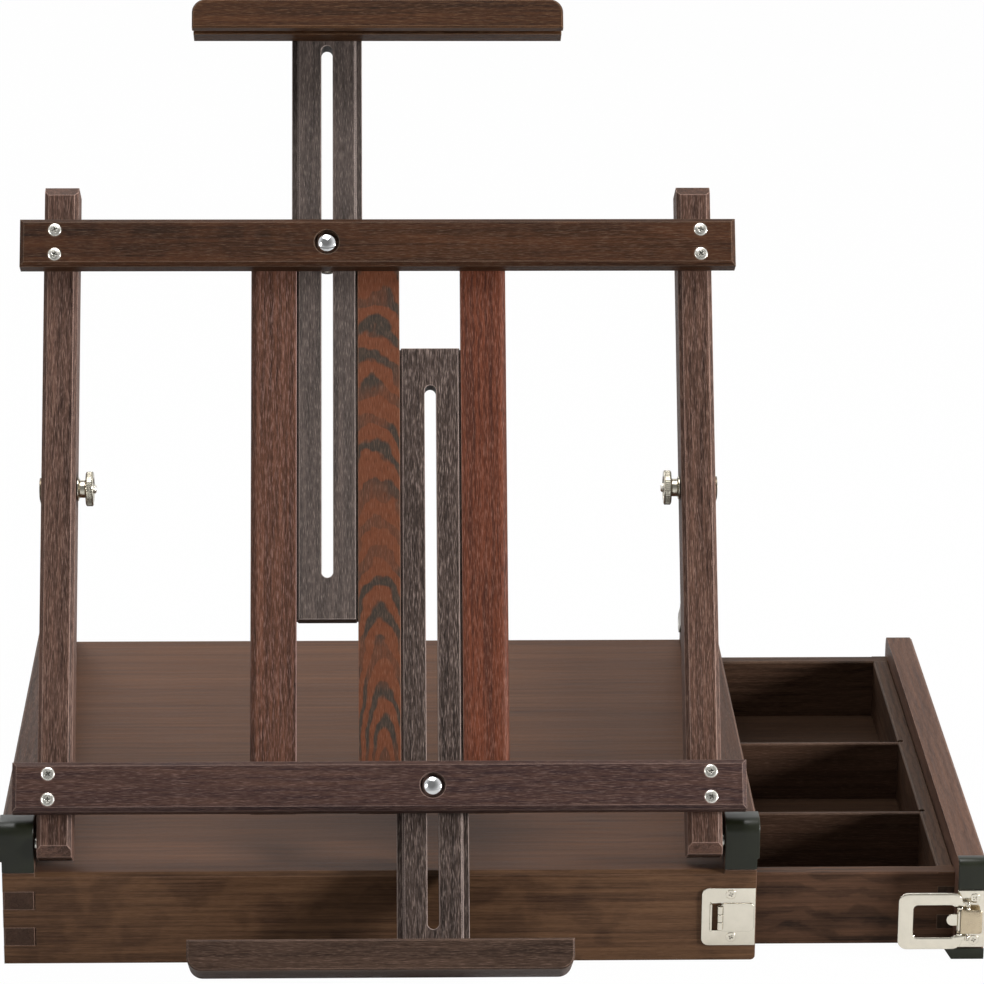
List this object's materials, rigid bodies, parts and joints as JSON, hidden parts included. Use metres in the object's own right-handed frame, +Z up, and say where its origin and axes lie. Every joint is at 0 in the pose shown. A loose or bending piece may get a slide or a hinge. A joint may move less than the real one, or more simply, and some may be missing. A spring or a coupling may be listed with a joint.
{
  "type": "table box easel",
  "caption": "Tabletop sketch-box easel: a wooden case with a side drawer and a folding frame whose two sliding masts hold a canvas between a clamp bar and a tray.",
  "frame": {"origin": "centre of the case's underside, on the table", "axes": "+X towards the side where the drawer pulls out, +Y towards the back, away from the painter, +Z up"},
  "size_m": [0.5237, 0.4366, 0.4804],
  "materials": {
    "walnut": "dark walnut stain, satin, open grain",
    "deck": "dark stained plywood, matt",
    "panel": "dark stained plywood, matt",
    "drawer_wood": "dark walnut stain, matt",
    "frame_wood": "dark walnut stain, satin, open grain",
    "guide_wood": "dark walnut stain over redder wood, satin",
    "mast_wood": "greyish walnut stain, satin",
    "bar_wood": "dark walnut stain, satin, worn edges",
    "guard_plastic": "moulded black plastic, semi-matt",
    "nickel": "bright nickel plate",
    "bolt_chrome": "polished chrome plate",
    "screw_steel": "zinc-plated steel",
    "stay_steel": "zinc-plated sheet steel",
    "nut_metal": "nickel-plated turned metal"
  },
  "bodies": {
    "case": {"case_left_side": "walnut", "case_front_wall": "walnut", "case_back_wall": "walnut", "case_right_rail": "walnut", "case_top_panel": "deck", "case_bottom_panel": "panel", "left_corner_guard": "guard_plastic", "right_corner_guard": "guard_plastic", "catch_plate": "nickel", "frame_pivot_pins": "screw_steel", "stay_rivets": "screw_steel"},
    "drawer": {"drawer_front_wall": "drawer_wood", "drawer_back_wall": "drawer_wood", "drawer_inner_end": "drawer_wood", "drawer_outer_end": "drawer_wood", "drawer_bottom": "panel", "drawer_divider_front": "drawer_wood", "drawer_divider_rear": "drawer_wood", "drawer_face_panel": "walnut", "face_upper_guard": "guard_plastic", "face_lower_guard": "guard_plastic", "latch_plate": "nickel"},
    "latch_lever": {"latch_lever": "nickel"},
    "latch_loop": {"latch_loop": "nickel"},
    "frame": {"left_leg": "frame_wood", "right_leg": "frame_wood", "upper_rail": "frame_wood", "lower_rail": "frame_wood", "left_guide": "frame_wood", "centre_guide": "guide_wood", "right_guide": "frame_wood", "rail_screws": "screw_steel", "mast_bolts": "bolt_chrome", "stay_clamp_bolts": "screw_steel"},
    "upper_mast": {"upper_mast": "mast_wood", "canvas_clamp": "bar_wood"},
    "lower_mast": {"lower_mast": "mast_wood", "canvas_tray": "bar_wood"},
    "left_stay": {"left_stay": "stay_steel"},
    "right_stay": {"right_stay": "stay_steel"},
    "left_thumb_nut": {"left_thumb_nut": "nut_metal"},
    "right_thumb_nut": {"right_thumb_nut": "nut_metal"},
    "upper_mast_nut": {"upper_mast_nut": "nut_metal"},
    "lower_mast_nut": {"lower_mast_nut": "nut_metal"}
  },
  "joints": [
    {"name": "drawer_slide", "type": "slide", "parent": "case", "child": "drawer", "axis": [1, 0, 0], "range_m": [-0.107, 0.13]},
    {"name": "latch_lever_hinge", "type": "hinge", "parent": "drawer", "child": "latch_lever", "pos_m": [0.3085, -0.1863, 0.0234], "axis": [0, 0, -1], "range_deg": [0, 120]},
    {"name": "latch_loop_hinge", "type": "hinge", "parent": "latch_lever", "child": "latch_loop", "pos_m": [0.3127, -0.1863, 0.0234], "axis": [0, 0, -1], "range_deg": [-138.5, 0]},
    {"name": "frame_tilt", "type": "hinge", "parent": "case", "child": "frame", "pos_m": [0, -0.1749, 0.0654], "axis": [-1, 0, 0], "range_deg": [0, 59.5]},
    {"name": "left_stay_hinge", "type": "hinge", "parent": "case", "child": "left_stay", "pos_m": [-0.182, 0.172, 0.0654], "axis": [1, 0, 0], "range_deg": [0, 33.7]},
    {"name": "right_stay_hinge", "type": "hinge", "parent": "case", "child": "right_stay", "pos_m": [0.182, 0.172, 0.0654], "axis": [1, 0, 0], "range_deg": [0, 33.7]},
    {"name": "upper_mast_slide", "type": "slide", "parent": "frame", "child": "upper_mast", "axis": [0, 0.5075, 0.8616], "range_m": [-0.098, 0.177]},
    {"name": "lower_mast_slide", "type": "slide", "parent": "frame", "child": "lower_mast", "axis": [0, 0.5075, 0.8616], "range_m": [0, 0.068]},
    {"name": "left_thumb_nut_turn", "type": "hinge", "parent": "frame", "child": "left_thumb_nut", "pos_m": [-0.16, -0.0772, 0.23126], "axis": [1, 0, 0], "continuous": true},
    {"name": "right_thumb_nut_turn", "type": "hinge", "parent": "frame", "child": "right_thumb_nut", "pos_m": [0.16, -0.0772, 0.23126], "axis": [1, 0, 0], "continuous": true},
    {"name": "upper_mast_nut_turn", "type": "hinge", "parent": "frame", "child": "upper_mast_nut", "pos_m": [-0.0278, -0.00732, 0.34202], "axis": [0, -0.8616, 0.5075], "continuous": true},
    {"name": "lower_mast_nut_turn", "type": "hinge", "parent": "frame", "child": "lower_mast_nut", "pos_m": [0.0278, -0.15795, 0.08629], "axis": [0, -0.8616, 0.5075], "continuous": true}
  ],
  "couplings": [
    {"joint": "left_stay_hinge", "follows": "frame_tilt", "ratio": 0.5655},
    {"joint": "right_stay_hinge", "follows": "frame_tilt", "ratio": 0.5655},
    {"joint": "latch_loop_hinge", "follows": "latch_lever_hinge", "ratio": -1.15}
  ]
}
